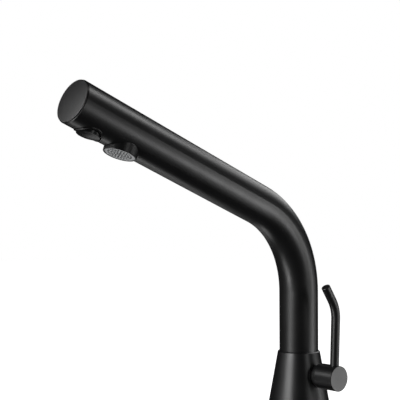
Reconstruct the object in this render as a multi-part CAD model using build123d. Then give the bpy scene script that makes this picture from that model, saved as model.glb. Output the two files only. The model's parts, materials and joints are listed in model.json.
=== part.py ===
from build123d import *
import math
import os

os.makedirs("parts", exist_ok=True)

# Single lever kitchen mixer with a slanted swivel spout, two outlets and a filter capsule in the spout end.
# Millimetres. Origin: centre of the tap hole on the deck surface. +Z up, the spout points to -Y, the lever hub to +X.

# ---------------------------------------------------------------- driving dimensions
TUBE_R = 18.0            # spout tube outside radius
TUBE_IN = 16.5           # spout tube inside radius
BEND_Z = 123.0           # where the upright part of the tube ends and the bend begins
BEND_R = 85.0            # bend radius on the centreline
BEND_DEG = 70.0          # the bend turns the tube this far, leaving it 20 degrees above level
STRAIGHT = 212.0         # straight slanted part, bend to end face
CAP_T = 0.9              # visible edge of the end cap
CAP_GAP = 0.25           # shadow gap behind it

SEAM_Z = 68.0            # top of the base sleeve
SLEEVE_TOP_R = 19.4
SLEEVE_SLOPE = 0.183
SLEEVE_WALL = 2.8

HUB_Z = 47.9             # lever axis above the deck
HUB_TURN = -3.9          # lever axis turned this far from +X about Z
HUB_R = 11.3
HUB_X1 = 49.85           # end face of the hub, along the lever axis
PIVOT_X = 30.6           # centre of the hub's ball end; the lever tilts about it
SEAT_R = 11.9            # hollow in the base sleeve that the ball end sits in
STEM_ARM = 16.8          # pivot to the stem tip that drives the ceramic disc
TILT = 14.0              # how far the lever tilts

ROD_X = 43.73
ROD_R = 4.0
ROD_LEAN0 = 2.56         # lower part leans back
ROD_LEN0 = 52.31
ROD_BEND_R = 28.31
ROD_LEAN1 = 33.66        # upper part leans forward
ROD_LEN1 = 14.78

AER_BACK = 54.5          # aerator axis behind the end face
AER_R = 13.5
AER_DROP = 20.1          # its face below the spout axis
NOZ_BACK = 22.0          # filtered water outlet behind the end face
NOZ_RING_R = 11.3
NOZ_R = 9.3

SHANK_R = 16.0           # threaded shank
COLLAR_R = 17.0          # centring collar for a 35 mm tap hole
DECK_T = 30.0            # deck thickness the clamp is shown at
FIT = 0.05               # radial running clearance


# ---------------------------------------------------------------- helpers
def cyl(r, z0, z1, x=0.0, y=0.0):
    return Pos(x, y, (z0 + z1) / 2) * Cylinder(r, z1 - z0)


def ring(ro, ri, z0, z1):
    return cyl(ro, z0, z1) - cyl(ri, z0 - 1, z1 + 1)


def xcyl(r, x0, x1, y=0.0, z=0.0):
    return Pos((x0 + x1) / 2, y, z) * Rot(0, 90, 0) * Cylinder(r, x1 - x0)


def xring(ro, ri, x0, x1, z=0.0):
    return xcyl(ro, x0, x1, 0, z) - xcyl(ri, x0 - 1, x1 + 1, 0, z)


def ycyl(r, y0, y1, x=0.0, z=0.0):
    return Pos(x, (y0 + y1) / 2, z) * Rot(90, 0, 0) * Cylinder(r, y1 - y0)


def block(x0, x1, y0, y1, z0, z1):
    return Pos((x0 + x1) / 2, (y0 + y1) / 2, (z0 + z1) / 2) * Box(x1 - x0, y1 - y0, z1 - z0)


def lathe(points):
    """A solid of revolution about Z from (radius, z) points."""
    face = make_face(Plane.XZ * Polyline(*[(r, z) for r, z in points], close=True))
    return revolve(face, Axis.Z)


def sector(ro, ri, z0, z1, mid_deg, half_deg):
    """Part of a ring about Z, centred on the direction mid_deg."""
    reach = ro * 1.6
    a0, a1 = math.radians(mid_deg - half_deg), math.radians(mid_deg + half_deg)
    am = math.radians(mid_deg)
    pts = [
        (0, 0),
        (reach * math.cos(a0), reach * math.sin(a0)),
        (reach * 1.5 * math.cos(am), reach * 1.5 * math.sin(am)),
        (reach * math.cos(a1), reach * math.sin(a1)),
    ]
    wedge = extrude(Pos(0, 0, z0) * make_face(Polyline(*pts, close=True)), z1 - z0, dir=(0, 0, 1))
    return ring(ro, ri, z0, z1) & wedge


def save(shape, name, n=1):
    solids = shape.solids()
    assert len(solids) == n, (name, len(solids))
    out = Compound(children=list(solids)) if n > 1 else solids[0]
    out.label = name
    export_step(out, f"parts/{name}.step")


def group(shapes, name):
    solids = [s for shape in shapes for s in shape.solids()]
    out = Compound(children=solids)
    out.label = name
    export_step(out, f"parts/{name}.step")


def sleeve_r(z):
    return SLEEVE_TOP_R + SLEEVE_SLOPE * (SEAM_Z - z)


# The slanted part's own frame: local Z out along the spout, local Y up across it, origin on the end face.
T = math.radians(BEND_DEG)
BEND_END = (0.0, -BEND_R * (1 - math.cos(T)), BEND_Z + BEND_R * math.sin(T))
OUT = (0.0, -math.sin(T), math.cos(T))
END = tuple(BEND_END[i] + STRAIGHT * OUT[i] for i in range(3))
TIP = Plane(origin=END, x_dir=(1, 0, 0), z_dir=OUT).location
# The lever's frame: local X out along the lever axis, local Z up, origin above the middle of the base.
LEV = Rot(0, 0, HUB_TURN) * Pos(0, 0, HUB_Z)


def bent(ri_outer, offset, z_low, tip_z):
    """A round bar along the spout, shifted by offset towards the inside of the bend."""
    up = cyl(ri_outer, z_low, BEND_Z, 0, -offset)
    circle = Pos(0, -offset, BEND_Z) * Circle(ri_outer)
    arc = revolve(circle, Axis((0, -BEND_R, BEND_Z), (1, 0, 0)), BEND_DEG)
    slant = TIP * cyl(ri_outer, -STRAIGHT, tip_z, 0, -offset)
    return up + arc + slant


# ---------------------------------------------------------------- base (fixed)
# Cone shaped cover over the valve body, open below, with a round hole for the lever hub.
sleeve = lathe(
    [
        (sleeve_r(0) - SLEEVE_WALL, 0),
        (sleeve_r(0) - 0.5, 0),
        (sleeve_r(0.5), 0.5),
        (sleeve_r(SEAM_Z - 0.7), SEAM_Z - 0.7),
        (TUBE_R + 0.65, SEAM_Z),
        (TUBE_R + 0.25, SEAM_Z),
        (TUBE_R + 0.25, 63.2),
        (sleeve_r(63.2) - SLEEVE_WALL, 63.2),
    ]
)
sleeve -= LEV * (Pos(PIVOT_X, 0, 0) * Sphere(SEAT_R))
sleeve -= LEV * xcyl(5.6, 10, 30)
save(sleeve, "base_sleeve")

# Brass valve body: foot, column, side pocket for the cartridge, and the neck that the spout turns on.
PORTS = {"hot": (-6.3, 5.3), "cold": (-6.3, -5.3), "filter": (7.2, 0.0)}
SEALS = [(3.6, 2.6, 1.2), (-3.6, 2.6, 1.2), (0.0, -1.2, 1.7)]   # hot, cold and mixed ports of the cartridge: y, z, r
valve = (
    cyl(26.9, 0.6, 7.0)
    + cyl(16.6, 7.0, 63.9)
    + xcyl(14.6, 0, 13.4, 0, HUB_Z)
    + cyl(12.0, 63.9, 88.0)
    + cyl(10.0, 88.0, 108.0)
)
valve -= ring(25.6, 18.8, 0.0, 2.2)
valve -= cyl(15.2, 0.0, 9.0)
valve -= xcyl(12.55, 1.9, 20, 0, HUB_Z)
for px, py in PORTS.values():
    valve -= cyl(4.5, 8.5, 20.0, px, py)
for side in (1, -1):
    valve -= cyl(1.3, 19.0, HUB_Z + 2.6, -2.9, side * 3.6)
    valve -= xcyl(1.2, -2.9, 2.5, side * 3.6, HUB_Z + 2.6)
valve -= cyl(1.9, 19.0, 24.0, 7.2, 0)
valve -= xcyl(1.9, -13.0, 7.2, 0, 24.0)
valve -= cyl(1.9, 24.0, 67.0, -13.0, 0)
valve -= xcyl(1.9, -13.0, 0, 0, 67.0)
valve -= cyl(1.9, 66.0, 70.0)
valve -= xcyl(1.7, -7.2, 2.5, 0, HUB_Z - 1.2)
valve -= block(-8.7, -5.7, 0, 4.6, HUB_Z - 2.5, HUB_Z + 0.1)
valve -= cyl(1.6, HUB_Z - 1.2, 73.0, -7.2, 4.6)
valve -= cyl(3.0, 69.0, 73.0)
valve -= cyl(7.4, 72.0, 110.0)
valve -= cyl(9.0, 72.0, 80.0) - cyl(3.0, 72.0, 80.0) - cyl(7.4, 72.0, 80.0)
valve -= sector(12.6, 10.2, 74.3, 77.7, 90, 70)
valve -= ring(13.0, 11.0, 85.0, 86.3)
valve -= ring(10.6, 8.6, 92.4, 94.6)
valve -= ring(10.6, 8.6, 99.4, 101.6)
save(Rot(0, 0, HUB_TURN) * valve, "valve_body")

shank = cyl(15.2, -5.0, 9.0) + cyl(COLLAR_R, -5.0, 0.6) + cyl(SHANK_R, -58.0, -5.0)
shank -= cyl(13.0, -60, 10)
shank = chamfer(shank.edges().filter_by(GeomType.CIRCLE).group_by(Axis.Z)[0], 0.6)
save(shank, "threaded_shank")
save(ring(25.3, 19.1, 0.0, 2.2), "deck_gasket")
save(ring(24.0, 16.2, -DECK_T - 3.0, -DECK_T), "clamp_washer_rubber")
save(ring(24.0, 16.2, -DECK_T - 5.0, -DECK_T - 3.0), "clamp_washer_steel")
nut = extrude(Pos(0, 0, -DECK_T - 17.0) * RegularPolygon(21.0, 6, major_radius=False), 12.0, dir=(0, 0, 1))
nut = nut & lathe([(0, -DECK_T - 17.0), (21.6, -DECK_T - 17.0), (24.6, -DECK_T - 15.2), (24.6, -DECK_T - 6.8), (21.6, -DECK_T - 5.0), (0, -DECK_T - 5.0)])
nut -= cyl(SHANK_R, -80, 0)
save(nut, "lock_nut")

save(ring(17.4, 12.1, 63.9, 65.95), "slide_ring")
group([ring(9.97, 8.6, 92.6, 94.4), ring(9.97, 8.6, 99.6, 101.4)], "neck_orings")
save(ring(3.0, 2.0, 70.0, 117.0), "filter_feed_tube")
clip = ring(13.4, 11.0, 85.1, 86.2) - block(-3.2, 3.2, -20, 0, 80, 90)
save(clip, "neck_circlip")

# Cartridge, lying along the lever axis in the side pocket.
house = xcyl(12.5, 1.9, 9.3) + xcyl(11.6, 9.3, 15.9) + xcyl(9.4, 15.9, 17.5)
house -= xcyl(10.8, 5.4, 14.85)
house -= xcyl(8.9, 14.8, 16.2)
house -= xcyl(6.6 + FIT, 16.0, 18)
for y, z, r in SEALS:
    house -= xcyl(r, 1, 6, y, z)
    house -= xcyl(r + 0.9, 1, 2.9, y, z)
save(LEV * house, "cartridge_housing")
group(
    [LEV * (xcyl(r + 0.9, 1.9, 2.9, y, z) - xcyl(r, 1, 4, y, z)) for y, z, r in SEALS],
    "cartridge_seals",
)
fixed = xcyl(10.7, 5.4, 8.4)
for y, z, r in SEALS:
    fixed -= xcyl(r, 5, 9, y, z)
save(LEV * fixed, "fixed_ceramic_disc")
cart_nut = xring(12.55, 11.65, 9.4, 13.4)
for k in range(6):
    cart_nut -= Rot(60 * k, 0, 0) * block(12.1, 14.0, -1.2, 1.2, 10.6, 13.5)
save(LEV * cart_nut, "cartridge_nut")

# ---------------------------------------------------------------- rotor: turns with the lever about the lever axis
rotor = xcyl(8.6, 15.0, 16.1) + xcyl(6.6, 16.1, 18.4)
arms = block(18.2, PIVOT_X, -4.4, 4.4, -2.2, 2.2) + ycyl(2.2, -4.4, 4.4, PIVOT_X, 0)
rotor += arms
rotor -= block(14.5, 16.1, -2.05, 2.05, -2.3, 6.4)
rotor -= block(16.0, 18.4, -2.05, 2.05, -1.6, 5.6)
rotor -= block(18.3, 40, -2.05, 2.05, -5, 5.6)
rotor -= ycyl(1.25, -6.9, 6.9, PIVOT_X, 0)
rotor -= xring(8.0, 6.0, 16.4, 17.3)
save(LEV * rotor, "cartridge_rotor")
save(LEV * xring(6.62, 6.0, 16.45, 17.25), "rotor_oring")
save(LEV * ycyl(1.25, -4.4, 4.4, PIVOT_X, 0), "stem_pivot_pin")

# ---------------------------------------------------------------- moving ceramic disc, driven by the stem tip
moving = xcyl(6.2, 8.45, 11.4) - xcyl(2.8, 8, 10.2) - block(8, 10.2, -3.6, 3.6, -4.4, -1.7)
save(LEV * moving, "moving_ceramic_disc")
carriage = xcyl(6.2, 11.4, 14.7) - block(11.0, 15.0, -2.05, 2.05, -2.0, 2.0)
save(LEV * carriage, "disc_carriage")

# ---------------------------------------------------------------- lever: tilts in the rotor
stem = (
    block(PIVOT_X - STEM_ARM, PIVOT_X, -2.0, 2.0, -1.25, 1.25)
    + ycyl(1.9, -2.0, 2.0, PIVOT_X - STEM_ARM, 0)
    + ycyl(3.2, -2.0, 2.0, PIVOT_X, 0)
    + block(PIVOT_X, 39.0, -2.0, 2.0, -2.5, 2.5)
)
stem -= ycyl(1.25 + FIT, -4, 4, PIVOT_X, 0)
save(LEV * stem, "lever_stem")

a0, a1 = math.radians(ROD_LEAN0), math.radians(ROD_LEAN1)
d0, d1 = (0, math.sin(a0), math.cos(a0)), (0, -math.sin(a1), math.cos(a1))
p0 = Vector(ROD_X, 0, 0)
q0 = p0 + Vector(*d0) * ROD_LEN0
n0 = Vector(0, -math.cos(a0), math.sin(a0))   # towards the bend centre
centre = q0 + n0 * ROD_BEND_R
turn = ROD_LEAN0 + ROD_LEAN1
seat = Plane(origin=p0, x_dir=(1, 0, 0), z_dir=d0).location
rod = seat * cyl(ROD_R, -4.5, ROD_LEN0)
elbow_face = Plane(origin=q0, x_dir=(1, 0, 0), z_dir=d0).location * Circle(ROD_R)
rod += revolve(elbow_face, Axis(tuple(centre), (1, 0, 0)), turn)
q1 = centre + Vector(0, math.cos(a1), math.sin(a1)) * ROD_BEND_R
tip = Plane(origin=q1, x_dir=(1, 0, 0), z_dir=d1).location * cyl(ROD_R, 0, ROD_LEN1)
tip = chamfer(tip.edges().filter_by(GeomType.CIRCLE).sort_by(Axis.Z)[-1], 0.35)
rod += tip
save(LEV * rod, "lever_rod")

# The hub is a plain cylinder with a ball end, hollow where the rotor's fork reaches in.
hub = xcyl(HUB_R, PIVOT_X, HUB_X1)
hub = chamfer(hub.edges().filter_by(GeomType.CIRCLE).sort_by(Axis.X)[-1], 0.35)
hub += Pos(PIVOT_X, 0, 0) * Sphere(HUB_R)
hub -= block(10, PIVOT_X - 10.4, -20, 20, -20, 20)
for tilt in (0, -TILT / 2, -TILT):
    hub -= Pos(PIVOT_X, 0, 0) * Rot(0, tilt, 0) * block(-14, 3.2, -4.75, 4.75, -2.55, 2.55)
hub -= ycyl(3.4, -4.75, 4.75, PIVOT_X, 0)
hub -= block(PIVOT_X, 39.2, -2.0, 2.0, -2.5, 2.5)
hub -= seat * cyl(ROD_R, -4.5, 30)
hub -= cyl(2.5, -13, -2.5, 36.2, 0)
save(LEV * hub, "lever_hub")
grub = cyl(2.5, -9.6, -2.5, 36.2, 0)
grub -= extrude(Pos(36.2, 0, -9.6) * RegularPolygon(1.25, 6, major_radius=False), 3.0, dir=(0, 0, 1))
save(LEV * grub, "hub_set_screw")
plug = cyl(2.5, -10.9, -9.7, 36.2, 0)
save(LEV * plug, "screw_plug")

# ---------------------------------------------------------------- spout: swivels on the neck
tube_end = -(CAP_T + CAP_GAP)
tube = bent(TUBE_R, 0, 66.0, tube_end)
tube = chamfer(tube.edges().filter_by(GeomType.CIRCLE).sort_by(Axis.Y)[0], 0.4)
tube -= bent(TUBE_IN, 0, 60.0, 5.0)
tube -= TIP * ycyl(AER_R, -30, -5, 0, -AER_BACK)
tube -= TIP * ycyl(NOZ_RING_R, -30, -5, 0, -NOZ_BACK)
for k in range(3):
    tube -= TIP * sector(17.3, 16.0, -3.7, 2, 90 + 120 * k, 32)
LIMIT_Z = 76.0
tube -= ycyl(2.0, 14, 20, 0, LIMIT_Z)
save(tube, "spout_tube")

bush = ring(TUBE_IN, 12.0 + FIT, 66.0, 84.8) - ycyl(2.0, 11, 20, 0, LIMIT_Z)
save(bush, "swivel_bush")
limit = ycyl(2.0, 12.2, 17.7, 0, LIMIT_Z) + ycyl(1.5, 10.5, 12.2, 0, LIMIT_Z)
limit -= extrude(Plane(origin=(0, 17.7, LIMIT_Z), z_dir=(0, -1, 0)) * RegularPolygon(1.0, 6, major_radius=False), 2.2)
save(limit, "swivel_limit_screw")

MIX, FILT = 7.5, -7.5   # conduit offsets towards the inside of the bend
manifold = cyl(TUBE_IN, 90.0, 122.0)
manifold -= cyl(10.0 + FIT, 89, 108.5)
manifold -= cyl(8.0, 108, 113.0)
manifold -= cyl(3.0 + FIT, 112, 117.2)
manifold -= cyl(3.6, 112, 118.0, 0, -MIX)
manifold -= cyl(4.5, 117.5, 123.0, 0, -MIX)
manifold -= block(-1.3, 1.3, 0, 7.5, 114.3, 116.7)
manifold -= cyl(1.9, 114.0, 119.0, 0, -FILT)
manifold -= cyl(4.0, 118.0, 123.0, 0, -FILT)
save(manifold, "spout_manifold")

mixed = bent(4.5, MIX, 117.5, -AER_BACK - 12.9) - bent(3.5, MIX, 110.0, -40)
save(mixed, "mixed_water_pipe")
clean = bent(4.0, FILT, 118.0, -42.0) - bent(2.9, FILT, 110.0, -30)
save(clean, "filter_water_pipe")

AER = TIP * Pos(0, 0, -AER_BACK)
collar = ycyl(AER_R, -AER_DROP, -12.2)
collar = chamfer(collar.edges().filter_by(GeomType.CIRCLE).sort_by(Axis.Y)[0], 0.3)
collar -= ycyl(12.4, -30, -5)
save(AER * collar, "aerator_collar")
holder = ycyl(13.4, -12.2, -2.6) - ycyl(12.0, -13, -4.2)
holder -= Pos(0, 7.5 * -1, -13.0) * Cylinder(4.5, 14.0)
save(AER * holder, "aerator_holder")
insert = ycyl(12.4, -19.7, -13.4) - ycyl(10.6, -18.3, -13.0)
save(AER * insert, "aerator_insert")
save(AER * (ycyl(12.4, -13.4, -12.2) - ycyl(9.8, -20, -5)), "aerator_gasket")

NOZ = TIP * Pos(0, 0, -NOZ_BACK)
keep_out = Cylinder(TUBE_IN + 0.05, 60)
# A saddle shaped lip that follows the tube, round a slightly domed plug.
nring = (ycyl(NOZ_RING_R, -20, -5) - ycyl(10.3, -30, 0)) & Cylinder(TUBE_R + 0.7, 60)
save(NOZ * (nring - keep_out), "filter_outlet_ring")
# The water leaves through the narrow slot between the plug and the lip; three webs carry the plug.
noz = ycyl(NOZ_R, -19.1, -12.5) & (Pos(0, 40.9, 0) * Sphere(60))
noz -= ycyl(7.6, -16.4, -5)
for k in range(3):
    noz += Rot(0, 90 + 120 * k, 0) * block(8.6, 10.25, -17.1, -11.0, -0.9, 0.9)
save(NOZ * (noz - keep_out), "filter_outlet_nozzle")

seat_disc = cyl(TUBE_IN, -41.0, -38.0) + cyl(5.3, -47.0, -41.0, 0, 7.5)
seat_disc -= cyl(4.0, -48.0, -42.0, 0, 7.5)
seat_disc -= cyl(3.0 + FIT, -43.0, -37.0, 0, 7.5)
save(TIP * seat_disc, "capsule_seat")

# ---------------------------------------------------------------- filter capsule: pulls out along the spout
shell = cyl(15.6, -37.7, -4.2) - cyl(13.4, -36.2, -5.7)
shell += cyl(6.0, -4.2, -2.4)
shell -= ring(16.5, 14.6, -37.1, -34.7)
shell -= ring(16.5, 14.6, -9.2, -6.8)
shell += cyl(3.0, -41.6, -37.7, 0, 7.5)
shell -= cyl(1.8, -43.0, -36.0, 0, 7.5)
shell -= ycyl(3.0, -18, -12, 0, -NOZ_BACK)
save(TIP * shell, "capsule_shell")
media = ring(13.3, 3.0, -36.1, -5.8)
save(TIP * media, "filter_media")
group([TIP * ring(16.45, 14.6, -36.9, -34.9), TIP * ring(16.45, 14.6, -9.0, -7.0)], "capsule_orings")

# ---------------------------------------------------------------- end cap: twists on the capsule
cap = cyl(17.5, -CAP_T, 0.6) & (Pos(0, 0, 0.55 - 219) * Rot(90, 0, 0) * Sphere(219))
rims = [e for e in cap.edges().filter_by(GeomType.CIRCLE) if abs(e.radius - 17.5) < 0.01]
cap = fillet(ShapeList(rims).sort_by(Axis.Z)[-1], 0.3)
cap += ring(16.3, 14.0, -4.0, -CAP_T)
cap += ring(8.2, 6.0 + FIT, -4.0, -CAP_T)
for k in range(3):
    cap += sector(17.2, 16.0, -3.4, -CAP_T, 90 + 120 * k - 18, 7)
save(TIP * cap, "end_cap")
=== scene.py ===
import json
import math
import random

import bmesh
import bpy
from mathutils import Matrix, Vector
from mathutils.geometry import delaunay_2d_cdt


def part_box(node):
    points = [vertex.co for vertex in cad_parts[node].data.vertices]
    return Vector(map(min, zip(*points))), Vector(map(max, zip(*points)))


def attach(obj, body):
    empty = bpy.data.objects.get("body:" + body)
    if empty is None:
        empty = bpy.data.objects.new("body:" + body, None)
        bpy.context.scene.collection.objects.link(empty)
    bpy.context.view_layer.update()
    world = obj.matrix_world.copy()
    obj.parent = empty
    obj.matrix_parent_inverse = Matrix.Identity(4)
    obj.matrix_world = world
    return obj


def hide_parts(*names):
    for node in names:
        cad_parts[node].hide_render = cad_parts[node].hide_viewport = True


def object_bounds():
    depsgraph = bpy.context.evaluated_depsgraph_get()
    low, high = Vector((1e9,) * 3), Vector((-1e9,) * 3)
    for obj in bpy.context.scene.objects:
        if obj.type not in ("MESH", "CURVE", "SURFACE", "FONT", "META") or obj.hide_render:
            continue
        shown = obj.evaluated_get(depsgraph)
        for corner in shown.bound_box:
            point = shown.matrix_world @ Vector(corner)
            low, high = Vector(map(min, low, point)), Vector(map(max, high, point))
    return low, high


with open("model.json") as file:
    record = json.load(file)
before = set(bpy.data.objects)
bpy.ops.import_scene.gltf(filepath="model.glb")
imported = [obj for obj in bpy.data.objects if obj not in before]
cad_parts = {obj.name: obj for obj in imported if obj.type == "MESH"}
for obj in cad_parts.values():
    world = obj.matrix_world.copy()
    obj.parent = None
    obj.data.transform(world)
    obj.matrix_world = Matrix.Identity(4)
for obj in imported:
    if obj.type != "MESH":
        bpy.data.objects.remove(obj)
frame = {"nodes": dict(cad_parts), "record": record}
cad_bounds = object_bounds()
nodes = frame["nodes"]
random.seed(7)

# ------------------------------------------------------------------ camera
cam_data = bpy.data.cameras.new("camera")
cam_data.lens = 77.45
cam_data.sensor_width = 36.0
cam_data.clip_start = 0.01
cam_data.clip_end = 50.0
cam = bpy.data.objects.new("camera", cam_data)
bpy.context.scene.collection.objects.link(cam)
look = Vector((-0.7314, 0.6811, 0.0351)).normalized()
right = look.cross(Vector((0, 0, 1))).normalized()
up = right.cross(look)
cam.matrix_world = Matrix(
    (
        (right.x, up.x, -look.x, 0.5275),
        (right.y, up.y, -look.y, -0.6171),
        (right.z, up.z, -look.z, 0.1797),
        (0, 0, 0, 1),
    )
)
bpy.context.scene.camera = cam


# ------------------------------------------------------------------ material helpers
def new_material(name):
    m = bpy.data.materials.new(name)
    m.use_nodes = True
    t = m.node_tree
    for n in list(t.nodes):
        t.nodes.remove(n)
    out = t.nodes.new("ShaderNodeOutputMaterial")
    p = t.nodes.new("ShaderNodeBsdfPrincipled")
    t.links.new(p.outputs["BSDF"], out.inputs["Surface"])
    return m, t, p


def coords(t):
    return t.nodes.new("ShaderNodeTexCoord").outputs["Object"]


def noise(t, scale, detail=2.0, rough=0.5, vec=None):
    n = t.nodes.new("ShaderNodeTexNoise")
    n.inputs["Scale"].default_value = scale
    n.inputs["Detail"].default_value = detail
    n.inputs["Roughness"].default_value = rough
    t.links.new(vec if vec is not None else coords(t), n.inputs["Vector"])
    return n.outputs["Fac"]


def ramp(t, fac, lo, hi, x0=0.3, x1=0.7):
    r = t.nodes.new("ShaderNodeMapRange")
    r.inputs["From Min"].default_value = x0
    r.inputs["From Max"].default_value = x1
    r.inputs["To Min"].default_value = lo
    r.inputs["To Max"].default_value = hi
    t.links.new(fac, r.inputs["Value"])
    return r.outputs["Result"]


def colour(t, fac, a, b, x0=0.3, x1=0.7):
    r = t.nodes.new("ShaderNodeValToRGB")
    r.color_ramp.elements[0].position = x0
    r.color_ramp.elements[1].position = x1
    r.color_ramp.elements[0].color = (*a, 1)
    r.color_ramp.elements[1].color = (*b, 1)
    t.links.new(fac, r.inputs["Fac"])
    return r.outputs["Color"]


def bump(t, height, strength, distance, normal=None):
    b = t.nodes.new("ShaderNodeBump")
    b.inputs["Strength"].default_value = strength
    b.inputs["Distance"].default_value = distance
    t.links.new(height, b.inputs["Height"])
    if normal is not None:
        t.links.new(normal, b.inputs["Normal"])
    return b.outputs["Normal"]


def powder_black(name, base=(0.0040, 0.0040, 0.0042), rough=(0.33, 0.37), grain=1.0):
    """Satin black powder coat: fine orange peel, a finer grain on it, slight gloss variation."""
    m, t, p = new_material(name)
    peel = noise(t, 900.0, 1.0)
    fine = noise(t, 4200.0, 2.0)
    slow = noise(t, 60.0, 3.0)
    n1 = bump(t, peel, 0.03 * grain, 0.00006)
    n2 = bump(t, fine, 0.05 * grain, 0.00002, n1)
    t.links.new(n2, p.inputs["Normal"])
    t.links.new(ramp(t, slow, rough[0], rough[1]), p.inputs["Roughness"])
    a = base
    b = tuple(c * 1.5 for c in base)
    t.links.new(colour(t, fine, a, b), p.inputs["Base Color"])
    p.inputs["Specular IOR Level"].default_value = 0.5
    return m


def plain(name, a, b, rough, metal=0.0, scale=400.0, bump_s=0.05, bump_d=0.00005, stretch=None):
    m, t, p = new_material(name)
    vec = coords(t)
    if stretch:
        mp = t.nodes.new("ShaderNodeMapping")
        mp.inputs["Scale"].default_value = stretch
        t.links.new(vec, mp.inputs["Vector"])
        vec = mp.outputs["Vector"]
    f = noise(t, scale, 3.0, vec=vec)
    t.links.new(colour(t, f, a, b), p.inputs["Base Color"])
    t.links.new(ramp(t, f, rough[0], rough[1]), p.inputs["Roughness"])
    p.inputs["Metallic"].default_value = metal
    t.links.new(bump(t, f, bump_s, bump_d), p.inputs["Normal"])
    return m


MATS = {
    "black_coat": powder_black("black_coat"),
    "black_gloss": powder_black("black_gloss", (0.005, 0.005, 0.0052), (0.22, 0.27), 0.3),
    "black_plastic": powder_black("black_plastic", (0.014, 0.014, 0.014), (0.45, 0.55), 0.8),
    "brass": plain("brass", (0.62, 0.43, 0.17), (0.72, 0.53, 0.25), (0.22, 0.34), 1.0, 300.0, 0.06, 0.00004, (1, 1, 6)),
    "copper_pipe": plain("copper_pipe", (0.60, 0.28, 0.16), (0.72, 0.38, 0.24), (0.25, 0.38), 1.0, 200.0),
    "steel": plain("steel", (0.48, 0.48, 0.50), (0.62, 0.62, 0.63), (0.22, 0.32), 1.0, 500.0),
    "rubber": plain("rubber", (0.012, 0.012, 0.012), (0.022, 0.022, 0.022), (0.6, 0.75), 0.0, 700.0, 0.2, 0.0001),
    "white_plastic": plain("white_plastic", (0.74, 0.74, 0.71), (0.80, 0.80, 0.78), (0.35, 0.45), 0.0, 300.0),
    "grey_plastic": plain("grey_plastic", (0.22, 0.23, 0.25), (0.27, 0.28, 0.30), (0.38, 0.48), 0.0, 400.0),
    "ceramic": plain("ceramic", (0.80, 0.80, 0.77), (0.86, 0.86, 0.84), (0.12, 0.18), 0.0, 200.0, 0.0, 0.00001),
    "aerator_grey": plain("aerator_grey", (0.50, 0.51, 0.52), (0.62, 0.63, 0.64), (0.26, 0.36), 0.0, 900.0),
    "carbon": plain("carbon", (0.02, 0.02, 0.02), (0.06, 0.06, 0.06), (0.8, 0.95), 0.0, 1500.0, 0.6, 0.0003),
}
SLOT = {s["node"]: s["material_slot"] for s in frame["record"]["subparts"]}
for name, ob in nodes.items():
    ob.data.materials.clear()
    ob.data.materials.append(MATS[SLOT[name]])



# ------------------------------------------------------------------ detail pieces
def closed_rings(rows, frame_m, name, mat):
    """A closed surface of revolution-like rings: rows of equal point counts, the last joined to the first."""
    bm = bmesh.new()
    rings = [[bm.verts.new(frame_m @ Vector(q)) for q in row] for row in rows]
    n = len(rows[0])
    for a, b in zip(rings, rings[1:] + rings[:1]):
        for k in range(n):
            bm.faces.new((a[k], a[(k + 1) % n], b[(k + 1) % n], b[k]))
    bmesh.ops.recalc_face_normals(bm, faces=bm.faces)
    mesh = bpy.data.meshes.new(name)
    bm.to_mesh(mesh)
    bm.free()
    ob = bpy.data.objects.new(name, mesh)
    mesh.materials.append(mat)
    bpy.context.scene.collection.objects.link(ob)
    return ob


def circle(r, z, n=64):
    return [(r * math.cos(2 * math.pi * k / n), r * math.sin(2 * math.pi * k / n), z) for k in range(n)]


def shank_thread():
    """The mounting shank with a real M32 x 1.5 thread."""
    lo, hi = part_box("threaded_shank")
    n, pitch, depth = 64, 0.0015, 0.0008
    r_out, r_col, r_in, r_top = 0.0160, 0.0170, 0.0130, 0.0152
    z0, z1, z2 = lo[2], -0.0050, 0.0006
    rows = [circle(r_in, z0, n), circle(r_out - depth - 0.0002, z0, n)]
    steps = int((z1 - z0 - 0.0030) / (pitch / 6))
    for i in range(steps + 1):
        z = z0 + 0.0008 + i * pitch / 6
        row = []
        for k in range(n):
            ph = (z / pitch - k / n) % 1.0
            cut = min(1.0, max(0.0, (abs(ph - 0.5) * 2.0 - 0.12) / 0.76))
            fade = min(1.0, i / 9.0, (steps - i) / 9.0)
            r = (r_out - depth) + depth * (1 - cut) * fade + 0.0
            row.append((r * math.cos(2 * math.pi * k / n), r * math.sin(2 * math.pi * k / n), z))
        rows.append(row)
    zr = z0 + 0.0008 + steps * pitch / 6
    rows += [circle(r_out - depth, zr + 0.0006, n), circle(r_out - depth, z1, n)]
    rows += [circle(r_col - 0.0003, z1, n), circle(r_col, z1 + 0.0003, n), circle(r_col, z2, n)]
    rows += [circle(r_top, z2, n), circle(r_top, hi[2] - 0.0003, n), circle(r_top - 0.0003, hi[2], n), circle(r_in, hi[2], n)]
    ob = closed_rings(rows, Matrix.Identity(4), "shank_with_thread", MATS["brass"])
    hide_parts("threaded_shank")
    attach(ob, "base")
    return ob


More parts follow.
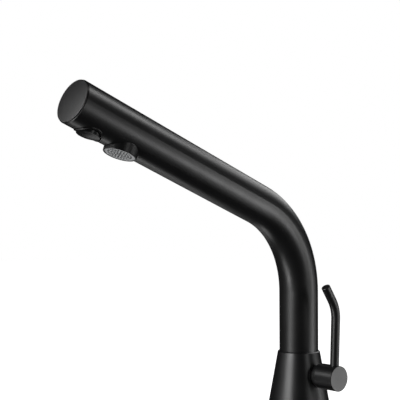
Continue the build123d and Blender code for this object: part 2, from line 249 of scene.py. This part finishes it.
def aerator_face():
    """The aerator insert: a cup whose face is drilled with rings of small holes inside a plain rim; the hole walls and
    the inside of the cup are painted black as shade.
    """
    m = next(q for q in frame["record"]["mounts"] if q["name"] == "aerator_outlet")
    axis = Vector(m["axis"]).normalized()
    side = Vector((1, 0, 0))
    cross = axis.cross(side)
    fr = Matrix(
        (
            (side.x, cross.x, axis.x, m["pos_m"][0]),
            (side.y, cross.y, axis.y, m["pos_m"][1]),
            (side.z, cross.z, axis.z, m["pos_m"][2]),
            (0, 0, 0, 1),
        )
    )
    face, back, top = -0.0004, -0.0018, -0.0067
    r_out, r_cup, hole, pitch = 0.0124, 0.0106, 0.00090, 0.00230
    n_out, n_hole = 96, 12
    pts, edges, loops = [], [], []

    def add_loop(cx, cy, r, n):
        start = len(pts)
        for k in range(n):
            a = 2 * math.pi * k / n
            pts.append(Vector((cx + r * math.cos(a), cy + r * math.sin(a))))
            edges.append((start + k, start + (k + 1) % n))
        loops.append(list(range(start, start + n)))

    add_loop(0, 0, r_out, n_out)
    add_loop(0, 0, r_cup, n_out)
    centres = []
    centres.append((0.0, 0.0))
    for ring in range(1, 5):
        for k in range(6 * ring):
            a = 2 * math.pi * (k + 0.5 * (ring % 2)) / (6 * ring)
            centres.append((ring * pitch * math.cos(a), ring * pitch * math.sin(a)))
    for x, y in centres:
        add_loop(x, y, hole, n_hole)
    v, _, faces, _, _, _ = delaunay_2d_cdt(pts, edges, [], 0, 1e-9)
    bm = bmesh.new()
    lowv = [bm.verts.new(fr @ Vector((q.x, q.y, face))) for q in v]
    upv = [bm.verts.new(fr @ Vector((q.x, q.y, back))) if math.hypot(q.x, q.y) < r_cup + 1e-6 else None for q in v]
    for f in faces:
        c = sum((v[i] for i in f), Vector((0, 0))) / len(f)
        if math.hypot(c.x, c.y) > r_out or any(math.hypot(c.x - x, c.y - y) < hole * 0.97 for x, y in centres):
            continue
        bm.faces.new([lowv[i] for i in f])
        # The back of the plate takes the black material: painted shade inside the cup.
        if all(upv[i] is not None for i in f):
            bm.faces.new([upv[i] for i in f]).material_index = 1
    # The hole walls take the black material: painted shade in the holes.
    for lp in loops[2:]:
        for a, b in zip(lp, lp[1:] + lp[:1]):
            bm.faces.new((lowv[a], lowv[b], upv[b], upv[a])).material_index = 1
    rim_out = [bm.verts.new(fr @ Vector((v[i].x, v[i].y, top))) for i in loops[0]]
    rim_in = [bm.verts.new(fr @ Vector((v[i].x, v[i].y, top))) for i in loops[1]]
    n = n_out
    for k in range(n):
        k2 = (k + 1) % n
        a, b = loops[0][k], loops[0][k2]
        c, d = loops[1][k], loops[1][k2]
        bm.faces.new((lowv[a], lowv[b], rim_out[k2], rim_out[k]))
        # The inner cup wall takes the black material: painted shade inside the cup.
        bm.faces.new((upv[c], upv[d], rim_in[k2], rim_in[k])).material_index = 1
        bm.faces.new((rim_out[k], rim_out[k2], rim_in[k2], rim_in[k]))
    loose = [q for q in bm.verts if not q.link_faces]
    bmesh.ops.delete(bm, geom=loose, context="VERTS")
    bmesh.ops.recalc_face_normals(bm, faces=bm.faces)
    mesh = bpy.data.meshes.new("aerator_perforated")
    bm.to_mesh(mesh)
    bm.free()
    ob = bpy.data.objects.new("aerator_perforated", mesh)
    mesh.materials.append(MATS["aerator_grey"])
    # Slot 1, the black plastic, paints the shade in the holes and inside the cup.
    mesh.materials.append(MATS["black_plastic"])
    bpy.context.scene.collection.objects.link(ob)
    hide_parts("aerator_insert")
    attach(ob, "spout")
    return ob


shank_thread()
aerator_face()

# ------------------------------------------------------------------ stage
low = cad_bounds[0][2]
floor_mesh = bpy.data.meshes.new("floor")
bm = bmesh.new()
bmesh.ops.create_circle(bm, cap_ends=True, segments=96, radius=6.0)
bm.to_mesh(floor_mesh)
bm.free()
floor = bpy.data.objects.new("floor", floor_mesh)
floor.location = (0, 0, low - 0.0005)
bpy.context.scene.collection.objects.link(floor)
fm, ft, fp = new_material("floor")
fp.inputs["Base Color"].default_value = (0.86, 0.86, 0.86, 1)
fp.inputs["Roughness"].default_value = 0.9
lp = ft.nodes.new("ShaderNodeLightPath")
fp.inputs["Emission Color"].default_value = (1, 1, 1, 1)
ft.links.new(lp.outputs["Is Camera Ray"], fp.inputs["Emission Strength"])
floor_mesh.materials.append(fm)
# The soft lights below the floor line reach the object through it.
floor.visible_shadow = False
floor.visible_diffuse = False
floor.visible_glossy = False

world = bpy.data.worlds.new("world")
bpy.context.scene.world = world
world.use_nodes = True
wt = world.node_tree
bg = wt.nodes["Background"]
wlp = wt.nodes.new("ShaderNodeLightPath")
wm = wt.nodes.new("ShaderNodeMapRange")
wm.inputs["To Min"].default_value = 0.012
wm.inputs["To Max"].default_value = 1.0
wt.links.new(wlp.outputs["Is Camera Ray"], wm.inputs["Value"])
wt.links.new(wm.outputs["Result"], bg.inputs["Strength"])
bg.inputs["Color"].default_value = (1, 1, 1, 1)

# azimuth from the camera's side of -Y towards +X, elevation, distance, width, height, watts
LIGHTS = [
    (135, -6, 1.6, 0.46, 0.46, 2.28),
    (120, -22, 1.6, 0.46, 0.46, 2.97),
    (165, 44, 1.6, 0.46, 0.46, 3.06),
    (135, -22, 1.6, 0.46, 0.46, 2.95),
    (-165, 26, 1.6, 0.46, 0.46, 1.63),
    (-30, 26, 1.6, 0.46, 0.46, 9.54),
    (-180, 26, 1.6, 0.46, 0.46, 1.04),
    (135, -38, 1.6, 0.46, 0.46, 1.27),
    (-15, -22, 1.6, 0.46, 0.46, 6.10),
    (0, 10, 1.6, 0.46, 0.46, 8.05),
    (-15, 10, 1.6, 0.46, 0.46, 5.29),
    (150, 44, 1.6, 0.46, 0.46, 0.83),
    (165, 26, 1.6, 0.46, 0.46, 0.51),
    (150, -6, 1.6, 0.46, 0.46, 0.58),
    (90, 10, 1.6, 0.46, 0.46, 1.83),
    (105, -6, 1.6, 0.46, 0.46, 0.81),
    (-108, -55, 1.6, 0.46, 0.46, 1.49),
    (-30, -38, 1.6, 0.46, 0.46, 2.55),
    (-117, -30, 1.6, 0.46, 0.46, 0.35),
    (-50, 18, 1.6, 0.40, 0.40, 0.90),
]
aim = Vector((0, -0.08, 0.15))


def area_light(i, az, el, dist, w, h, watts):
    a, e = math.radians(az), math.radians(el)
    d = Vector((math.sin(a) * math.cos(e), -math.cos(a) * math.cos(e), math.sin(e)))
    data = bpy.data.lights.new(f"soft_{i}", "AREA")
    data.shape = "RECTANGLE"
    data.size, data.size_y = w, h
    data.energy = watts
    ob = bpy.data.objects.new(f"soft_{i}", data)
    ob.location = aim + d * dist
    ob.rotation_euler = (-d).to_track_quat("-Z", "Y").to_euler()
    ob.visible_camera = False
    bpy.context.scene.collection.objects.link(ob)
    return ob


for i, row in enumerate(LIGHTS):
    area_light(i, *row)

bpy.context.scene.view_settings.view_transform = "Standard"
